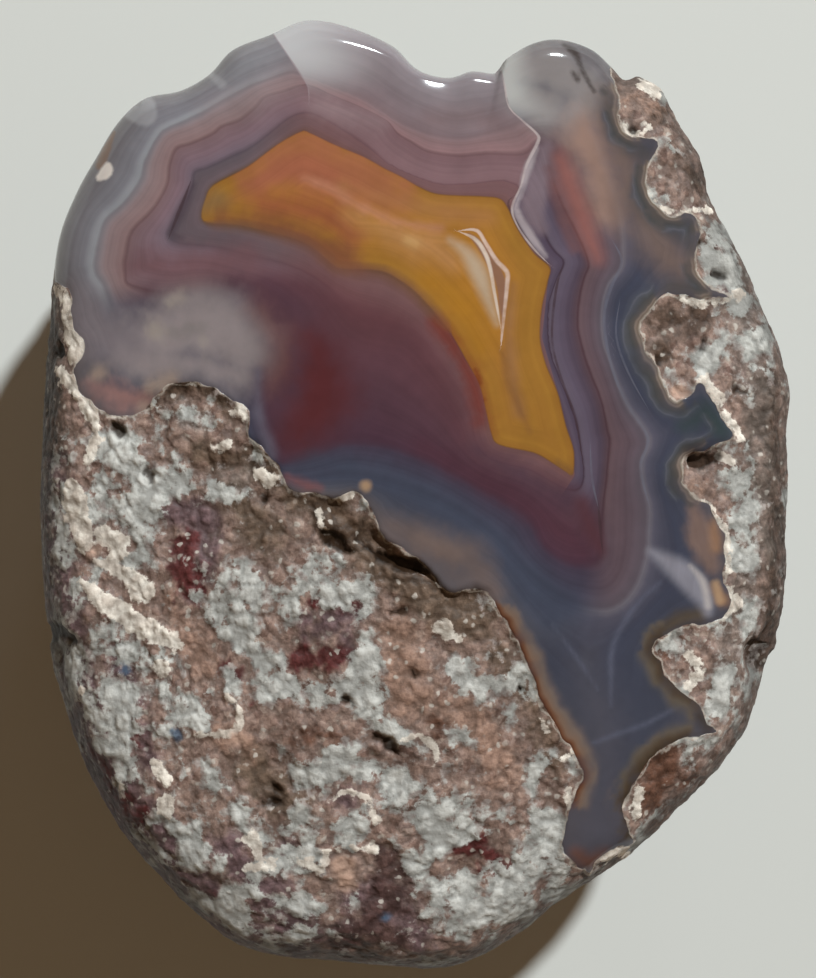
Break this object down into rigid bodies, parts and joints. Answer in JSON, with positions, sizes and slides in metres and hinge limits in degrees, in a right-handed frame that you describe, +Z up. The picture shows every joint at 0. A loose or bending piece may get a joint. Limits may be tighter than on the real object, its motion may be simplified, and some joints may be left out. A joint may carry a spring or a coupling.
{
  "type": "agate nodule",
  "caption": "Palm-sized agate nodule in its host rock, its face ground to a low polished dome, resting on a small flat spot on its natural back.",
  "frame": {"origin": "middle of the outline, on the plane of the flat spot that the stone rests on", "axes": "+Z up out of the polished face, +Y towards the end where the agate reaches the rim in two lobes, +X to the right seen from above"},
  "size_m": [0.0554, 0.0702, 0.027],
  "materials": {
    "agate": "polished banded agate on the face, rough rind and host rock round the back"
  },
  "bodies": {
    "root": {"agate_nodule": "agate"}
  },
  "joints": []
}
